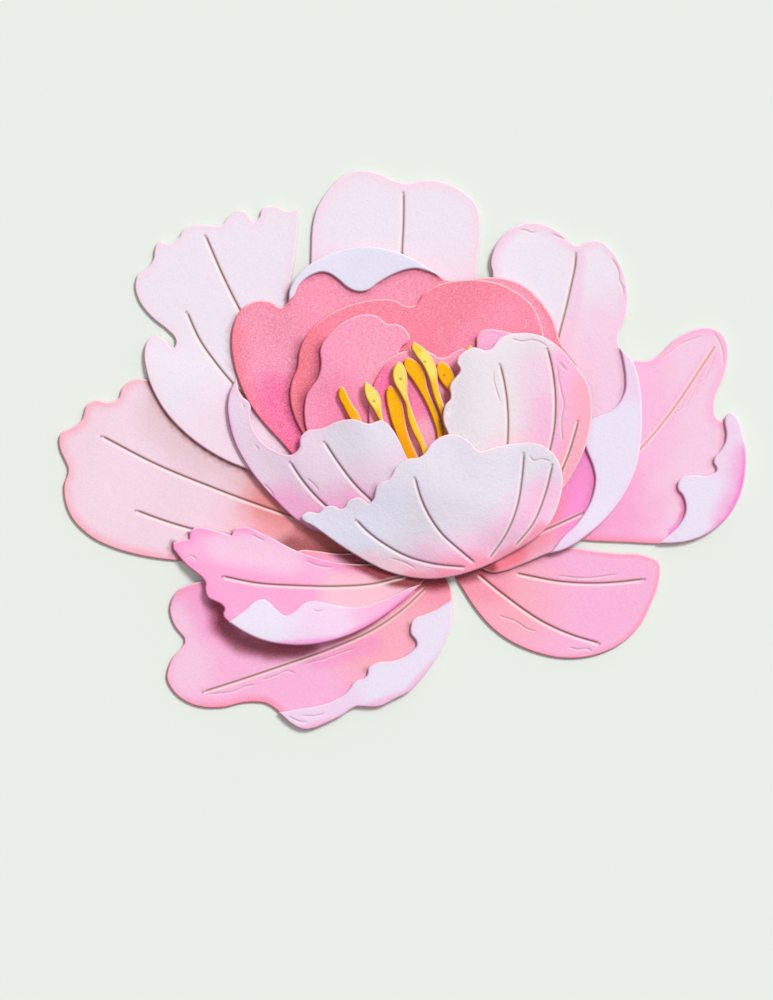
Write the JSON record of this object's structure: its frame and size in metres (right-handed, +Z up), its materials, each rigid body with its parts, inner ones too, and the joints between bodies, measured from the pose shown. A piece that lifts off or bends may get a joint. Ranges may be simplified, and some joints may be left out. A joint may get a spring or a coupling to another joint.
{
  "type": "layered die-cut card peony",
  "caption": "Flat-backed paper peony built from layered die-cut and scored card petals, with a cup of inner petals and raised stamens; a stick-on floral decoration.",
  "frame": {"origin": "centre of the flower's outline box, on the plane that its back petals lie on", "axes": "+Z up out of the flower's face, +Y towards the top petal, +X to the right seen from the front"},
  "size_m": [0.0962, 0.0782, 0.0057],
  "materials": {
    "shell_pink_card": "matt ink-blended cardstock",
    "rose_pink_card": "matt ink-blended cardstock",
    "hot_pink_card": "matt ink-blended cardstock",
    "pale_lilac_card": "matt ink-blended cardstock",
    "coral_card": "matt ink-blended cardstock",
    "blush_card": "matt ink-blended cardstock",
    "orange_card": "matt ink-blended cardstock",
    "yellow_card": "matt ink-blended cardstock",
    "front_petal_card": "matt ink-blended cardstock"
  },
  "bodies": {
    "root": {"back_petal_left": "shell_pink_card", "back_petal_top": "shell_pink_card", "back_petal_upper_left": "shell_pink_card", "back_petal_upper_right": "shell_pink_card", "back_petal_right": "rose_pink_card", "back_petal_lower_right": "rose_pink_card", "back_petal_lower_left": "rose_pink_card", "mid_petal_lower_left": "hot_pink_card", "tip_overlay_right": "pale_lilac_card", "tip_overlay_lower_left": "pale_lilac_card", "tip_overlay_mid": "pale_lilac_card", "edge_overlay_crescent": "pale_lilac_card", "curl_overlay_top": "pale_lilac_card", "coral_petal_large": "coral_card", "coral_petal_second": "coral_card", "pink_petal_left": "blush_card", "pink_petal_centre": "blush_card", "pink_petal_right": "blush_card", "stamens_orange": "orange_card", "stamens_yellow": "yellow_card", "front_petal_right": "front_petal_card", "front_petal_left": "front_petal_card", "front_petal": "front_petal_card"}
  },
  "joints": []
}
